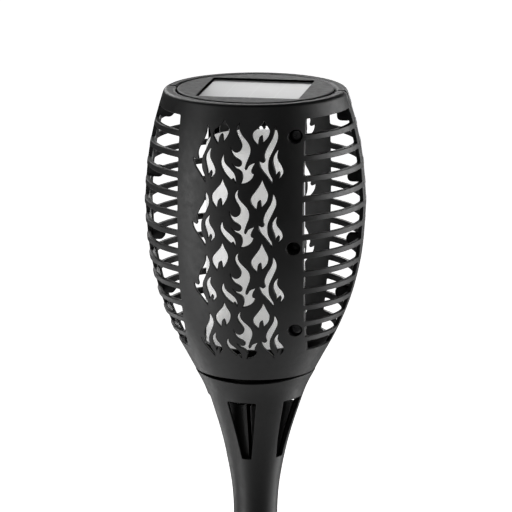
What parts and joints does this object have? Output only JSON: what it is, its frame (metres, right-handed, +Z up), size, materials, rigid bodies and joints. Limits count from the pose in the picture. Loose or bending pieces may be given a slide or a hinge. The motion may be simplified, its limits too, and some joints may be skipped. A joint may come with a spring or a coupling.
{
  "type": "solar torch light",
  "caption": "Garden torch with a slatted barrel head, flame cut-outs around a frosted lamp, a solar cap, a slotted funnel throat, a sectional pole and a ground spike.",
  "frame": {"origin": "on the torch's axis at ground level, under the ground spike's collar", "axes": "+Z up along the pole; -Y is the way the front flame panel faces; +X is to the right of it"},
  "size_m": [0.12, 0.1198, 0.78],
  "materials": {
    "charcoal_plastic": "fine matte moulded surface",
    "cap_plastic": "satin moulded disc",
    "inner_plastic": "matte black",
    "solar_laminate": "pale silver cells under a clear epoxy sheet",
    "black_foam": "closed-cell foam",
    "circuit_board": "green solder mask",
    "frosted_plastic": "frosted translucent white",
    "white_plastic": "plain white",
    "battery_wrap": "shrink wrap",
    "contact_metal": "nickel plated",
    "screw_steel": "zinc plated",
    "button_rubber": "soft matte"
  },
  "bodies": {
    "spike": {"ground_spike": "charcoal_plastic"},
    "lower_pole": {"lower_pole": "charcoal_plastic"},
    "upper_pole": {"upper_pole": "charcoal_plastic", "pole_coupler": "inner_plastic"},
    "throat": {"throat_funnel": "charcoal_plastic"},
    "head": {"cage_front": "charcoal_plastic", "cage_back": "charcoal_plastic", "solar_cap": "cap_plastic", "cap_cover": "inner_plastic", "lamp_frame": "inner_plastic", "base_cover": "inner_plastic", "solar_panel": "solar_laminate", "panel_foam_pad": "black_foam", "control_board": "circuit_board", "switch_board": "circuit_board", "flame_diffuser": "frosted_plastic", "led_core": "white_plastic", "led_board": "white_plastic", "battery_cell": "battery_wrap", "battery_top_contact": "contact_metal", "battery_spring": "contact_metal", "cage_screw_front_1": "screw_steel", "cage_screw_front_2": "screw_steel", "cage_screw_front_3": "screw_steel", "cage_screw_back_1": "screw_steel", "cage_screw_back_2": "screw_steel", "cage_screw_back_3": "screw_steel", "cap_screw_1": "screw_steel", "cap_screw_2": "screw_steel", "cap_screw_3": "screw_steel", "cap_screw_4": "screw_steel", "base_screw_1": "screw_steel", "base_screw_2": "screw_steel", "base_screw_3": "screw_steel"},
    "button": {"power_button": "button_rubber"}
  },
  "joints": [
    {"name": "lower_pole_pull", "type": "slide", "parent": "spike", "child": "lower_pole", "axis": [0, 0, 1], "range_m": [0, 0.03]},
    {"name": "upper_pole_pull", "type": "slide", "parent": "lower_pole", "child": "upper_pole", "axis": [0, 0, 1], "range_m": [0, 0.034]},
    {"name": "throat_pull", "type": "slide", "parent": "upper_pole", "child": "throat", "axis": [0, 0, 1], "range_m": [0, 0.034]},
    {"name": "head_twist", "type": "hinge", "parent": "throat", "child": "head", "pos_m": [0, 0, 0.48], "axis": [0, 0, 1], "range_deg": [0, 40]},
    {"name": "button_press", "type": "slide", "parent": "head", "child": "button", "axis": [0, 0, 1], "range_m": [0, 0.0015], "stiffness_N_per_m": 800}
  ]
}
